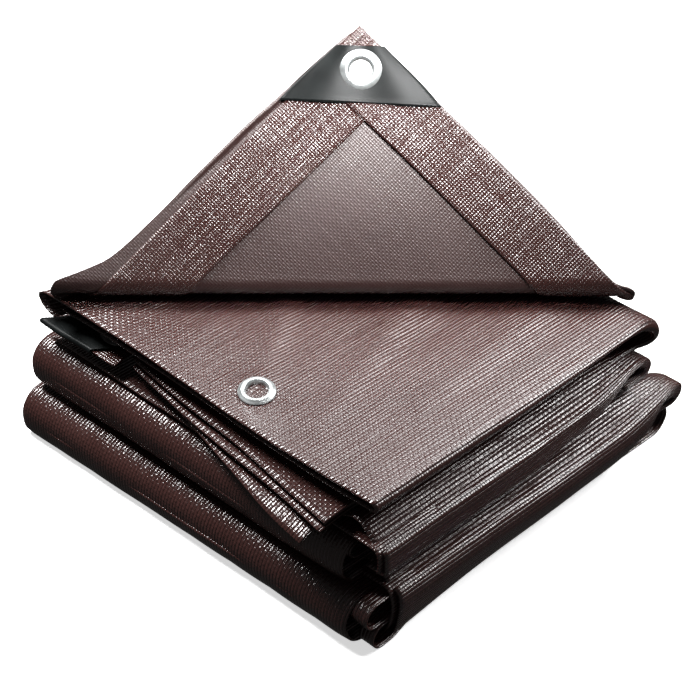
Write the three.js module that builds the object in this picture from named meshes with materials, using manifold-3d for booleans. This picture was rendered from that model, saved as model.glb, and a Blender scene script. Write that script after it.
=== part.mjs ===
// A folded tarp: one coated, woven sheet with a wide hem, black plastic corner patches and metal
// eyelets. The sheet is folded lengthwise and then crosswise into a stack, with its top corner
// turned back as a flap.
//
// Millimetres, +Z up. X runs along the right-hand side of the stack and Y along its left-hand side,
// away from the near corner.

import * as THREE from 'three'
import { mergeVertices } from 'three/addons/utils/BufferGeometryUtils.js'
import Module from 'manifold-3d'

const wasm = await Module()
wasm.setup()

// Driving dimensions

const clothThickness = 1.5
const hemThickness = 2.2
const hemWidth = 36.5
const pieceGap = 0.3
const sliver = 0.01

// Heights of the plies above the floor, each at the middle of its thickness.
const floorPly = clothThickness / 2
const rightBendUnder = 24.6
const upperRollFloor = 33.5
const upperRollTop = 62
const returnPly = 66.5
const thirdFan = 72
const secondFan = 76.6
const firstFan = 81
const underTopPly = 88.5
const topPly = 96
const flapPly = 101.5

// Where the middle of the cloth reaches at the left of each roll, how far the bends bulge, how far
// the small bends lie inside the roll, and where the top plies stop at the left and the back.
const rollBulge = 14.75
const lowerRollLeft = -142.75
const upperRollLeft = -137.25
const smallBulge = 6.5
const smallInset = 5
const endBulge = 2
const topPlyEdge = -130
const stackBack = 112

// The flap: the crease runs at 45 degrees across the stack, and the flap leans back from it.
const creaseSum = -18.6
const creaseRadius = 8
const flapLean = THREE.MathUtils.degToRad(54)
const flapTip = { along: 5.25, height: 140.75 }

// The lower front is tucked back below this height, and the near edges recede in proportion to
// their distance from the middle.
const tuckHeight = 22
const stackNear = 142

// Corner patches and eyelets
const patchNear = 96
const patchFar = 130
const patchWall = 1.2
const cornerEyelet = { outer: 23.4, hole: 12, barrel: 14, along: 6, height: 115.5 }
const edgeEyelet = { outer: 20.6, hole: 12, barrel: 13.6, x: -107, y: -36.5 }
const sideCornerEyelet = [-110.5, 76.3]

// Solids from surfaces

function toManifold(positions, triangles) {
  const mesh = new wasm.Mesh({
    numProp: 3,
    vertProperties: new Float32Array(positions.flat()),
    triVerts: new Uint32Array(triangles.flat()),
  })
  return new wasm.Manifold(mesh)
}

// A sheet given as rows of points on its middle surface, thickened to both sides and closed at its
// edges.
function sheet(rows, thickness = clothThickness) {
  const rowCount = rows.length
  const columnCount = rows[0].length
  const point = (i, j) => new THREE.Vector3(...rows[i][j])
  const positions = []
  for (const side of [0.5, -0.5]) {
    for (let i = 0; i < rowCount; i++) {
      for (let j = 0; j < columnCount; j++) {
        const down = point(Math.min(i + 1, rowCount - 1), j).sub(point(Math.max(i - 1, 0), j))
        const across = point(i, Math.min(j + 1, columnCount - 1)).sub(point(i, Math.max(j - 1, 0)))
        const normal = down.cross(across).normalize()
        positions.push(point(i, j).addScaledVector(normal, side * thickness).toArray())
      }
    }
  }
  const size = rowCount * columnCount
  const id = (side, i, j) => side * size + i * columnCount + j
  const triangles = []
  const quad = (a, b, c, d) => triangles.push([a, b, c], [a, c, d])
  for (let i = 0; i < rowCount - 1; i++) {
    for (let j = 0; j < columnCount - 1; j++) {
      quad(id(0, i, j), id(0, i + 1, j), id(0, i + 1, j + 1), id(0, i, j + 1))
      quad(id(1, i, j), id(1, i, j + 1), id(1, i + 1, j + 1), id(1, i + 1, j))
    }
  }
  for (let i = 0; i < rowCount - 1; i++) {
    quad(id(0, i, 0), id(1, i, 0), id(1, i + 1, 0), id(0, i + 1, 0))
    const last = columnCount - 1
    quad(id(0, i, last), id(0, i + 1, last), id(1, i + 1, last), id(1, i, last))
  }
  for (let j = 0; j < columnCount - 1; j++) {
    quad(id(0, 0, j), id(0, 0, j + 1), id(1, 0, j + 1), id(1, 0, j))
    const last = rowCount - 1
    quad(id(0, last, j), id(1, last, j), id(1, last, j + 1), id(0, last, j + 1))
  }
  return toManifold(positions, triangles)
}

// A back-and-forth path in a vertical plane. Each row is one run of cloth at a height, ending where
// the bend into the next run starts; bend is how far that bend reaches past it.
function backAndForth(start, runs, bendSteps = 7) {
  const path = [[start, runs[0].height]]
  runs.forEach((run, index) => {
    path.push([run.end, run.height])
    const next = runs[index + 1]
    if (!next) return
    const previousAcross = path[path.length - 2][0]
    const outward = Math.sign(run.end - previousAcross)
    const middle = (run.height + next.height) / 2
    const half = (next.height - run.height) / 2
    for (let step = 1; step <= bendSteps; step++) {
      const angle = (Math.PI * step) / (bendSteps + 1)
      path.push([
        run.end + outward * run.bend * Math.sin(angle),
        middle - half * Math.cos(angle),
      ])
    }
    path.push([run.end, next.height])
  })
  return path
}

// How much of a tuck a point takes: all of it at the floor, none at the height where it ends.
const tuckShare = (height) => Math.max(0, 1 - height / tuckHeight)

// How much of a rise a point of the lower right bend takes: none at its underside, all on top.
const riseShare = (height) =>
  Math.max(0, (height - rightBendUnder) / (upperRollFloor - rightBendUnder))

// A crosswise fold: a path in X and Z carried along Y, through stations that shift it a little or
// raise its upper part.
function crosswise(path, stations, thickness) {
  return sheet(stations.map(({ at, shift = 0, rise = 0 }) =>
    path.map(([x, z]) => [x + shift, at, z + rise * riseShare(z)])), thickness)
}

// A lengthwise fold: a path in Y and Z carried along X. Its near part recedes, or its lower part is
// tucked back.
function lengthwise(path, stations, thickness) {
  return sheet(stations.map(({ at, shift = 0, tuck = 0, recede = 0 }) =>
    path.map(([y, z]) => [
      at,
      y + shift + tuck * tuckShare(z) + recede * Math.max(0, -y / stackNear),
      z,
    ])), thickness)
}

// A flat ply with an uneven left-hand edge: each row of the table is a place along Y, which recedes
// towards the right.
function ply(outline, right, thickness) {
  return sheet(outline.map(({ at, left, height, droop = 0, recede = 0 }) =>
    [0, 0.12, 0.5, 1].map((share) => [
      left + (right - left) * share,
      at + recede * share,
      height - droop * (1 - Math.min(1, share / 0.12)),
    ])), thickness)
}

function join(solids) {
  return solids.reduce((whole, solid) => whole.add(solid))
}

// The two rolls at the left: an outer ply round two small bends, one above the other.

function lowerRoll() {
  const smallBend = lowerRollLeft + smallInset + smallBulge
  const path = backAndForth(96, [
    { height: 3.6, end: smallBend, bend: smallBulge },
    { height: 13.6, end: 92, bend: endBulge },
    { height: 17, end: smallBend, bend: smallBulge },
    { height: 27, end: 96, bend: endBulge },
    { height: 30, end: lowerRollLeft + rollBulge, bend: rollBulge },
    { height: floorPly, end: 96 },
  ])
  const bow = [
    { at: -139.5, shift: 3 },
    { at: -128, shift: 0.8 },
    { at: -60, shift: 0 },
    { at: 40, shift: 0.6 },
    { at: 112, shift: 1 },
    { at: 125, shift: 4 },
  ]
  return crosswise(path, bow)
}

function upperRoll() {
  const smallBend = upperRollLeft + smallInset + smallBulge
  const path = backAndForth(92, [
    { height: 36.4, end: smallBend, bend: smallBulge },
    { height: 46, end: 90, bend: endBulge },
    { height: 49.4, end: smallBend, bend: smallBulge },
    { height: 59, end: 96, bend: endBulge },
    { height: upperRollTop, end: upperRollLeft + rollBulge, bend: rollBulge },
    { height: upperRollFloor, end: 60 },
  ])
  const bow = [
    { at: -131, shift: 2 },
    { at: -120, shift: 0 },
    { at: -50, shift: -0.5 },
    { at: 40, shift: 0.5 },
    { at: 112, shift: 0.5 },
    { at: 123.5, shift: 3.5 },
  ]
  return crosswise(path, bow)
}

// The right-hand end of the lower plies: two bends, one on the other. The lower one lies on the floor
// and starts further back.
function lowerRightBends() {
  const upper = backAndForth(30, [
    { height: upperRollFloor, end: 111, bend: 9 },
    { height: rightBendUnder, end: 88 },
  ])
  const lower = backAndForth(100, [
    { height: rightBendUnder, end: 92, bend: 1.5 },
    { height: 21.6, end: 114, bend: 12 },
    { height: floorPly, end: 60 },
  ])
  return crosswise(upper, [
    { at: -148, rise: 4.5 },
    { at: -140, rise: 3 },
    { at: -131 },
    { at: -40, shift: -0.5 },
    { at: 121.5, shift: -3 },
  ]).add(crosswise(lower, [
    { at: -138.5 },
    { at: -40, shift: -0.5 },
    { at: 121.5, shift: -3 },
  ]))
}

// The front of the lower plies, under the right-hand side: one ply turns down in a tall round
// front to the floor.
function lowerFront() {
  const path = [
    [-120, upperRollFloor], [-131, upperRollFloor], [-140, upperRollFloor * 1.07],
    [-150, upperRollFloor * 1.1], [-153.4, 35.4], [-155, 31.5], [-155.2, 25], [-154.2, 14],
    [-152.6, 6], [-150.6, 2.2], [-147.5, floorPly], [-120, floorPly],
  ]
  return lengthwise(path, [
    { at: -118.5 },
    { at: -60, shift: 0.8, tuck: 3 },
    { at: 20, shift: 1.2, tuck: 6 },
    { at: 96, shift: 3, tuck: 8 },
  ])
}

// Two small bends that show under the near end of the lower front.
function nearBends() {
  const nearBulge = 8
  const path = backAndForth(-70, [
    { height: 30, end: -124, bend: nearBulge },
    { height: 17, end: -104, bend: 1 },
    { height: 14.6, end: -122, bend: nearBulge },
    { height: floorPly, end: -60 },
  ])
  return crosswise(path, [{ at: -149 }, { at: -141.5 }])
    .add(lengthwise([[-149, floorPly], [-130, floorPly]], [{ at: -121 }, { at: -60 }]))
}

// The ply above the rolls: flat at the back, rising to a round front at the right-hand side.
function returnFront() {
  const table = [
    { at: 114, height: returnPly, left: -100 },
    { at: -90, height: returnPly, left: -100 },
    { at: -108, height: returnPly, left: -126 },
    { at: -128, height: 68.5, left: -127.5, recede: 4 },
    { at: -140, height: 70.2, left: -128, recede: 8 },
    { at: -149, height: 70.8, left: -128, recede: 11 },
    { at: -153, height: 69.3, left: -128, recede: 12 },
    { at: -155, height: 65.5, left: -128, recede: 12 },
    { at: -155, height: 59.5, left: -126, recede: 12 },
    { at: -153, height: 54, left: -124, recede: 12 },
    { at: -148, height: 51.2, left: -120, recede: 12 },
    { at: -137, height: 50.2, left: -114, recede: 4 },
  ]
  return ply(table, 84)
}

// The right-hand end of that ply, which turns down onto the top of the upper roll.
function returnRightBend() {
  const profile = [
    { across: 60, share: 1 },
    { across: 82, share: 1 },
    { across: 88, share: 0.92 },
    { across: 91.5, share: 0.72 },
    { across: 92.5, share: 0.48 },
    { across: 91, share: 0.22 },
    { across: 87, share: 0.05 },
    { across: 82, share: 0 },
    { across: 66, share: 0 },
  ]
  const stations = [
    { at: 112, height: returnPly },
    { at: -90, height: returnPly },
    { at: -108, height: returnPly },
    { at: -124.5, height: 68.5 },
    { at: -132.6, height: 70.2 },
    { at: -138.8, height: 70.8 },
  ]
  return sheet(stations.map(({ at, height }) =>
    profile.map(({ across, share }) => [
      across,
      at,
      upperRollTop + share * (height - upperRollTop),
    ])))
}

// The plies fanned out at the left under the two top plies. Their left-hand edges are tables along
// Y, and the lowest one droops over the upper roll.

function fanPlies() {
  const first = ply([
    { at: 100, height: firstFan, left: -61 },
    { at: 52, height: firstFan, left: -61 },
    { at: 44, height: firstFan, left: -123 },
    { at: 1, height: firstFan, left: -128.8 },
    { at: -44, height: firstFan, left: -132, droop: 0.5 },
    { at: -88, height: firstFan, left: -138.6, droop: 1 },
    { at: -126.5, height: firstFan, left: -144.3, droop: 1.5 },
  ], 78)
  const second = ply([
    { at: 100, height: secondFan, left: -61 },
    { at: 52, height: secondFan, left: -61 },
    { at: 45, height: secondFan, left: -124.6 },
    { at: -24, height: secondFan, left: -134.6 },
    { at: -90, height: secondFan, left: -142, droop: 0.8 },
    { at: -125.5, height: secondFan, left: -147.5, droop: 2.2 },
  ], 70)
  const third = ply([
    { at: 104, height: thirdFan, left: -61 },
    { at: 40, height: thirdFan, left: -61 },
    { at: 20, height: thirdFan, left: -118 },
    { at: -60, height: thirdFan, left: -142, droop: 2 },
    { at: -87, height: thirdFan, left: -148.5, droop: 4 },
    { at: -116, height: thirdFan, left: -152, droop: 6 },
  ], 70)
  const nearBend = lengthwise(backAndForth(-112, [
    { height: firstFan, end: -125, bend: 2 },
    { height: secondFan, end: -112 },
  ], 4), [{ at: -118 }, { at: 60 }])
  const backBend = lengthwise(backAndForth(90, [
    { height: thirdFan, end: 102, bend: 3 },
    { height: returnPly, end: 90 },
  ], 4), [{ at: -62 }, { at: 66 }])
  return join([first, second, third, nearBend, backBend])
}

// The two top plies: one sheet folded over at the right-hand side, the back and the right-hand end.

function topPlies() {
  const inner = topPlyEdge + hemWidth + pieceGap
  const folded = lengthwise(backAndForth(stackBack - 0.5, [
    { height: topPly, end: -142, bend: 4.3 },
    { height: underTopPly, end: 106, bend: 4 },
    { height: firstFan, end: 94 },
  ]), [{ at: inner }, { at: 0, recede: 3 }, { at: 94, recede: 6.5 }])
  const underHem = lengthwise(backAndForth(-146.5, [
    { height: underTopPly, end: 106, bend: 4 },
    { height: firstFan, end: 100 },
  ]), [{ at: -128 }, { at: inner + 4 }])
  const backBend = lengthwise(backAndForth(96, [
    { height: flapPly, end: stackBack, bend: 5 },
    { height: topPly, end: stackBack - 1.5 },
  ]), [{ at: -121 }, { at: 86 }])
  const rightStations = (near, far) => [{ at: near }, { at: 0, shift: -1 }, { at: far, shift: -3 }]
  const outerRight = crosswise(backAndForth(70, [
    { height: topPly, end: 94, bend: 12 },
    { height: thirdFan, end: 60 },
  ]), rightStations(-137, 108))
  const innerRight = crosswise(backAndForth(70, [
    { height: underTopPly, end: 94, bend: 6 },
    { height: firstFan, end: 68 },
  ]), rightStations(-135.5, 100))
  return join([folded, underHem, backBend, outerRight, innerRight])
}

// The flap and the part of its ply that stays flat behind the crease.

const creaseTurn = Math.PI - flapLean
const creaseLength = creaseRadius * creaseTurn
const along = new THREE.Vector3(Math.SQRT1_2, -Math.SQRT1_2, 0)
const outward = new THREE.Vector3(-Math.SQRT1_2, -Math.SQRT1_2, 0)

// A point of the flap's ply from its place along the crease and its distance past the crease.
function flapPoint(alongCrease, past) {
  const place = new THREE.Vector3(creaseSum / 2, creaseSum / 2, flapPly)
  place.addScaledVector(along, alongCrease)
  const turned = THREE.MathUtils.clamp(past, 0, creaseLength) / creaseRadius
  const straight = Math.max(0, past - creaseLength)
  const reach = Math.min(past, 0) + creaseRadius * Math.sin(turned) + straight * Math.cos(creaseTurn)
  const rise = creaseRadius * (1 - Math.cos(turned)) + straight * Math.sin(creaseTurn)
  place.addScaledVector(outward, reach)
  place.z += rise
  return place.toArray()
}

// The flap's edges at a height up the flap: they meet at a right angle at its tip.
const flapLeft = (height) => flapTip.along + height - flapTip.height
const flapRight = (height) => flapTip.along + flapTip.height - height

const flapParting = patchNear + 4

function foldedBackPly() {
  const flat = [
    { past: -152, left: -13, right: -8 },
    { past: -110, left: -55, right: 32 },
    { past: -60, left: -105, right: 82 },
    { past: -20, left: -145, right: 122 },
    { past: -5, left: -160, right: 138 },
  ]
  const crease = [0, 0.2, 0.4, 0.6, 0.8, 1].map((share) => {
    const past = share * creaseLength
    const height = past - creaseLength
    return { past, left: flapLeft(height) + 1, right: flapRight(height) - 14 * (1 - share) ** 2 - 3 }
  })
  const flap = [25, 50, 75, flapParting - pieceGap].map((height) => ({
    past: creaseLength + height,
    left: flapLeft(height),
    right: flapRight(height),
  }))
  const shares = [0, 0.15, 0.35, 0.5, 0.65, 0.85, 1]
  return sheet([...flat, ...crease, ...flap].map(({ past, left, right }) =>
    shares.map((share) => flapPoint(left + (right - left) * share, past))))
}

// The hem along one edge of the flap, where the cloth is doubled.
function flapHem(edge, seam) {
  const heights = [0, 30, 60, patchNear - 2 * pieceGap]
  return sheet(heights.map((height) => [edge, seam].map((side) =>
    flapPoint(side(height), creaseLength + height))), hemThickness)
}

function flapHems() {
  const width = hemWidth * Math.SQRT2
  const proud = pieceGap / 2
  return join([
    flapHem((height) => flapLeft(height) - proud, (height) => flapLeft(height) + width),
    flapHem((height) => flapRight(height) + proud, (height) => flapRight(height) - width),
  ])
}

function flapRightBend() {
  const path = [[79, flapPly], [94, flapPly], [98.5, 100.6], [101.2, 99], [103, 96.2]]
  return crosswise(path, [{ at: -122, shift: 1.5 }, { at: 0 }, { at: 106, shift: -2 }])
}

// The strip of the top ply along its left-hand edge, doubled by the hem, with the edge eyelet's hole.
function sideHem() {
  const front = [
    [stackBack - 1.8, topPly], [-141.5, topPly], [-144, 95.4], [-145.7, 93.7], [-146.1, 91.4],
  ]
  const strip = lengthwise(front, [
    { at: topPlyEdge + 0.6 },
    { at: topPlyEdge + hemWidth },
  ], hemThickness)
  const hole = cylinder(edgeEyelet.barrel / 2 + pieceGap, 12)
    .translate([edgeEyelet.x, edgeEyelet.y, topPly])
  return strip.subtract(hole)
}

// Shapes drawn flat and given a thickness about their middle, and the tools that cut them

function fromGeometry(geometry) {
  const bare = geometry.index ? geometry.toNonIndexed() : geometry
  bare.deleteAttribute('normal')
  bare.deleteAttribute('uv')
  const merged = mergeVertices(bare, 1e-4)
  return new wasm.Manifold(new wasm.Mesh({
    numProp: 3,
    vertProperties: new Float32Array(merged.attributes.position.array),
    triVerts: new Uint32Array(merged.index.array),
  }))
}

function plate(outline, thickness) {
  const shape = new THREE.Shape(outline.map(([x, y]) => new THREE.Vector2(x, y)))
  const geometry = new THREE.ExtrudeGeometry(shape, { depth: thickness, bevelEnabled: false })
  return fromGeometry(geometry.translate(0, 0, -thickness / 2))
}

function cylinder(radius, length) {
  return fromGeometry(new THREE.CylinderGeometry(radius, radius, length, 32).rotateX(Math.PI / 2))
}

// A corner of the sheet: its cloth tip, and the black plastic patch folded round both its faces.

function cornerHole() {
  return cylinder(cornerEyelet.barrel / 2 + pieceGap, 12)
    .translate([cornerEyelet.along, cornerEyelet.height, 0])
}

function cornerCloth() {
  const tipCut = flapTip.height - 1
  return plate([
    [flapLeft(flapParting), flapParting],
    [flapRight(flapParting), flapParting],
    [flapRight(tipCut), tipCut],
    [flapLeft(tipCut), tipCut],
  ], clothThickness).subtract(cornerHole())
}

function cornerPatch() {
  const slotDepth = clothThickness + 2 * pieceGap
  const slotSide = pieceGap * Math.SQRT2
  const wallSide = (pieceGap + patchWall) * Math.SQRT2
  const clip = 1.2
  const body = plate([
    [flapLeft(patchFar) - wallSide, patchFar],
    [flapLeft(patchNear + clip) - wallSide, patchNear + clip],
    [flapLeft(patchNear + clip) - wallSide + clip, patchNear],
    [flapRight(patchNear + clip) + wallSide - clip, patchNear],
    [flapRight(patchNear + clip) + wallSide, patchNear + clip],
    [flapRight(patchFar) + wallSide, patchFar],
  ], slotDepth + 2 * patchWall)
  const slot = plate([
    [flapLeft(patchFar + 5) - slotSide, patchFar + 5],
    [flapLeft(patchNear - 5) - slotSide, patchNear - 5],
    [flapRight(patchNear - 5) + slotSide, patchNear - 5],
    [flapRight(patchFar + 5) + slotSide, patchFar + 5],
  ], slotDepth)
  return body.subtract(slot).subtract(cornerHole())
}

// A pressed eyelet: two round flanges on a barrel, gripping what lies between them.
function eyelet({ outer, hole, barrel }, grip) {
  const face = grip / 2 + pieceGap
  const rim = outer / 2
  const bore = hole / 2
  const upper = [
    [barrel / 2, face],
    [rim, face],
    [rim, face + 0.5],
    [rim - 1.2, face + 1.2],
    [bore + 1.4, face + 1.2],
    [bore, face + 0.4],
  ]
  const lower = upper.map(([radius, height]) => [radius, -height]).reverse()
  const profile = [...upper, ...lower, upper[0]]
  const points = profile.map(([radius, height]) => new THREE.Vector2(radius, height))
  return fromGeometry(new THREE.LatheGeometry(points, 32).rotateX(Math.PI / 2))
}

// Materials

const cloth = new THREE.MeshStandardMaterial({ color: 0x4a3234, roughness: 0.35, metalness: 0 })
const plastic = new THREE.MeshStandardMaterial({ color: 0x16181a, roughness: 0.25, metalness: 0 })
const metal = new THREE.MeshStandardMaterial({ color: 0xc8cacc, roughness: 0.3, metalness: 1 })

// The stack

const tarp = new THREE.Group()

function addPiece(name, solid, material, place = new THREE.Matrix4()) {
  const { vertProperties, triVerts } = solid.getMesh()
  const geometry = new THREE.BufferGeometry()
  geometry.setAttribute('position', new THREE.BufferAttribute(vertProperties, 3))
  geometry.setIndex(new THREE.BufferAttribute(triVerts, 1))
  geometry.computeVertexNormals()
  const mesh = new THREE.Mesh(geometry, material)
  mesh.name = name
  place.decompose(mesh.position, mesh.quaternion, mesh.scale)
  tarp.add(mesh)
}

// The flap's own frame has x along the crease, y up the flap and z out of its near face.
const flapFoot = new THREE.Vector3(...flapPoint(0, creaseLength))
const flapUp = outward.clone().multiplyScalar(Math.cos(creaseTurn))
flapUp.z = Math.sin(creaseTurn)
const flapOut = along.clone().cross(flapUp)
const flapFrame = new THREE.Matrix4().makeBasis(along, flapUp, flapOut).setPosition(flapFoot)

// The side corner lies flat, with its tip towards the near corner of the stack.
const down = new THREE.Vector3(0, 0, -1)
const sideFrame = new THREE.Matrix4().makeBasis(along, outward, down)
const sideEyelet = new THREE.Vector3(cornerEyelet.along, cornerEyelet.height, 0)
const sideOrigin = new THREE.Vector3(...sideCornerEyelet, secondFan)
sideFrame.setPosition(sideOrigin.sub(sideEyelet.applyMatrix4(sideFrame)))

// The ply behind the side corner, which joins the second of the fanned plies.
function sideCornerPly() {
  const table = [
    { height: flapParting - pieceGap, left: -34.5, right: 46 },
    { height: 88, left: -22, right: 58 },
    { height: 70, left: -4, right: 38 },
    { height: 50, left: 16, right: 20 },
  ]
  return sheet(table.map(({ height, left, right }) =>
    [left, right].map((place) =>
      new THREE.Vector3(place, height, 0).applyMatrix4(sideFrame).toArray())))
}

const patchGrip = clothThickness + 2 * (pieceGap + patchWall)
const edgeFrame = new THREE.Matrix4().setPosition(edgeEyelet.x, edgeEyelet.y, topPly)

addPiece('tarp_cloth', join([
  lowerRoll(), upperRoll(), lowerRightBends(), lowerFront(), nearBends(), returnFront(),
  returnRightBend(), fanPlies(), topPlies(), foldedBackPly(), flapHems(), flapRightBend(),
  sideCornerPly(),
]).simplify(sliver), cloth)
addPiece('side_hem', sideHem(), cloth)
addPiece('flap_corner', cornerCloth(), cloth, flapFrame)
addPiece('side_corner', cornerCloth(), cloth, sideFrame)
addPiece('top_corner_patch', cornerPatch(), plastic, flapFrame)
addPiece('side_corner_patch', cornerPatch(), plastic, sideFrame)
const pressedIn = eyelet(cornerEyelet, patchGrip)
  .translate([cornerEyelet.along, cornerEyelet.height, 0])
addPiece('top_corner_eyelet', pressedIn, metal, flapFrame)
addPiece('side_corner_eyelet', pressedIn, metal, sideFrame)
addPiece('edge_eyelet', eyelet(edgeEyelet, hemThickness), metal, edgeFrame)

// The origin is at the middle of the stack's underside.
const box = new THREE.Box3().setFromObject(tarp, true)
const middle = box.getCenter(new THREE.Vector3())
tarp.position.set(-middle.x, -middle.y, -box.min.z)
tarp.updateMatrixWorld(true)

export default tarp
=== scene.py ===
from math import cos, exp, pi, radians, sin, sqrt

import bmesh
import bpy
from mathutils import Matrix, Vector, noise


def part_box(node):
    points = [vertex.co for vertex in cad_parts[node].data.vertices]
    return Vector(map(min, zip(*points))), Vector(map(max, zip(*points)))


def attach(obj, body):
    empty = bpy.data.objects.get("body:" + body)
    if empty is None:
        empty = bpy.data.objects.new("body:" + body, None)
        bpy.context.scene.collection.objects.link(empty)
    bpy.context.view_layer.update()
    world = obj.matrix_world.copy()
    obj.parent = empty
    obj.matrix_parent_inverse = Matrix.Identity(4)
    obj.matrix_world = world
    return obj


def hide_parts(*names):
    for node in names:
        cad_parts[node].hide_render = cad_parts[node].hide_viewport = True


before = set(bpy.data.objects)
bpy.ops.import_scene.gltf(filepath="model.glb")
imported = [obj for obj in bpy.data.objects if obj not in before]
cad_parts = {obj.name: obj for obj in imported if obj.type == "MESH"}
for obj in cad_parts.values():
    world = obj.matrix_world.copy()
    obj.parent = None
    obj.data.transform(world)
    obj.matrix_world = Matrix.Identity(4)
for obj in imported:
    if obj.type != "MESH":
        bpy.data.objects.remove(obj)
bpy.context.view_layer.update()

# Camera
# The stack is seen over its near corner, from above, with a long lens. The stack's own measures
# are in millimetres from a point near its middle, and the edge eyelet, which is pressed in at a
# known place, ties them to the frame.
edge_eyelet_place = Vector((-107, -36.5, 96))
eyelet_low, eyelet_high = (Vector(corner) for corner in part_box("edge_eyelet"))
stack_shift = (eyelet_low + eyelet_high) / 2 - edge_eyelet_place / 1000
stack_shift.z = 0


def in_frame(x, y, z):
    return Vector((x, y, z)) / 1000 + stack_shift


def toward(turn, rise):
    """The direction of the camera or a lamp, from its turn and its rise in degrees."""
    turn, rise = radians(turn), radians(rise)
    return Vector((sin(turn) * cos(rise), -cos(turn) * cos(rise), sin(rise)))


camera_turn = -45
camera_rise = 36
camera_distance = 1.287
camera_focus = in_frame(0, 0, 50)
photo_width = 700
focal_length_in_pixels = 2200

camera_data = bpy.data.cameras.new("camera")
camera_data.sensor_width = 36
camera_data.lens = camera_data.sensor_width * focal_length_in_pixels / photo_width
camera = bpy.data.objects.new("camera", camera_data)
toward_camera = toward(camera_turn, camera_rise)
camera.location = camera_focus + toward_camera * camera_distance
camera.rotation_euler = toward_camera.to_track_quat("Z", "Y").to_euler()
bpy.context.collection.objects.link(camera)
bpy.context.scene.camera = camera

# Floor and light
# A plain white floor that fills the view, and soft lamps: two at the right that run along the ribs
# of the flat plies, one high at the left for the rolls, a small one near the camera for the flap,
# and a wide, weak one behind the stack.
floor_reach = 6.0
floor_corners = [(x * floor_reach, y * floor_reach, 0) for x, y in [(-1, -1), (1, -1), (1, 1), (-1, 1)]]
floor_mesh = bpy.data.meshes.new("floor")
floor_mesh.from_pydata(floor_corners, [], [(0, 1, 2, 3)])
floor = bpy.data.objects.new("floor", floor_mesh)
floor.visible_diffuse = False
floor.visible_glossy = False
bpy.context.collection.objects.link(floor)


def new_finish(name):
    """A finish of its own, and its shader."""
    finish = bpy.data.materials.new(name)
    finish.use_nodes = True
    return finish, finish.node_tree.nodes["Principled BSDF"]


def set_inputs(node, values):
    for name, value in values.items():
        node.inputs[name].default_value = value


floor_paint, floor_shader = new_finish("floor_paint")
set_inputs(floor_shader, {
    "Base Color": (0.9, 0.9, 0.9, 1), "Roughness": 0.9, "Specular IOR Level": 0.0,
    "Emission Color": (1, 1, 1, 1), "Emission Strength": 0.62,
})
floor_mesh.materials.append(floor_paint)

studio = bpy.data.worlds.new("studio")
studio.use_nodes = True
set_inputs(studio.node_tree.nodes["Background"], {"Color": (1, 0.97, 0.96, 1), "Strength": 0.055})
bpy.context.scene.world = studio
bpy.context.scene.view_settings.view_transform = "Standard"


def soft_lamp(name, turn, rise, distance, width, height, power, aim=camera_focus, spread=180):
    direction = toward(turn, rise)
    lamp_data = bpy.data.lights.new(name, "AREA")
    lamp_data.shape = "RECTANGLE"
    lamp_data.size = width
    lamp_data.size_y = height
    lamp_data.energy = power
    lamp_data.spread = radians(spread)
    lamp = bpy.data.objects.new(name, lamp_data)
    lamp.location = aim + direction * distance
    lamp.rotation_euler = direction.to_track_quat("Z", "Y").to_euler()
    bpy.context.collection.objects.link(lamp)


soft_lamp("right_lamp", turn=80, rise=52, distance=1.05, width=0.42, height=0.32, power=5.8)
soft_lamp("front_lamp", turn=58, rise=37, distance=1.05, width=0.4, height=0.3, power=9)
soft_lamp("roll_lamp", turn=-162, rise=60, distance=1.4, width=0.5, height=0.4, power=44)
soft_lamp("flap_lamp", turn=-22, rise=56, distance=0.40, width=0.15, height=0.1, power=0.62,
          aim=in_frame(36, 26, 212), spread=58)
soft_lamp("back_lamp", turn=128, rise=44, distance=1.8, width=1.1, height=0.6, power=8)

# Lower roll
# The lowest plies, folded back and forth at the left: one outer ply round two small bends. The cloth
# is woven from flat tapes and coated on both faces with a thin glossy film, and the tapes show
# through it as fine ribs, strongest along the sheet. The roll sags and is fuller at its far end.
coat_brown = (0.025, 0.0080, 0.0066, 1)
# The paler brown is partly the film's random patches and partly a painted highlight on the tape crowns,
# with painted shade left in the grooves.
coat_brown_patchy_and_highlit = (0.052, 0.0195, 0.0168, 1)


def node_sum(tree, operation, *values):
    node = tree.nodes.new("ShaderNodeMath")
    node.operation = operation
    for slot, value in zip(node.inputs, values):
        if isinstance(value, (int, float)):
            slot.default_value = value
        else:
            tree.links.new(value, slot)
    return node.outputs[0]


def tree_noise(tree, place, scale, detail=2, roughness=0.5):
    node = tree.nodes.new("ShaderNodeTexNoise")
    set_inputs(node, {"Scale": scale, "Detail": detail, "Roughness": roughness})
    tree.links.new(place, node.inputs["Vector"])
    return node.outputs[0]


def stretched(tree, place, size):
    node = tree.nodes.new("ShaderNodeMapping")
    node.inputs["Scale"].default_value = size
    tree.links.new(place, node.inputs["Vector"])
    return node.outputs[0]


def colour_between(tree, amount, first, second, low=0.0, high=1.0):
    node = tree.nodes.new("ShaderNodeValToRGB")
    node.color_ramp.elements[0].position = low
    node.color_ramp.elements[0].color = first
    node.color_ramp.elements[1].position = high
    node.color_ramp.elements[1].color = second
    tree.links.new(amount, node.inputs[0])
    return node.outputs[0]


def spread(tree, amount, low, high, start=0.0, end=1.0):
    node = tree.nodes.new("ShaderNodeMapRange")
    set_inputs(node, {"From Min": start, "From Max": end, "To Min": low, "To Max": high})
    tree.links.new(amount, node.inputs[0])
    return node.outputs[0]


def raise_relief(tree, shader, height, distance, strength=1.0):
    """Lets a height stand out from the surface, by up to the distance in metres."""
    raised = tree.nodes.new("ShaderNodeBump")
    set_inputs(raised, {"Strength": strength, "Distance": distance})
    tree.links.new(height, raised.inputs["Height"])
    tree.links.new(raised.outputs[0], shader.inputs["Normal"])


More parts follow.
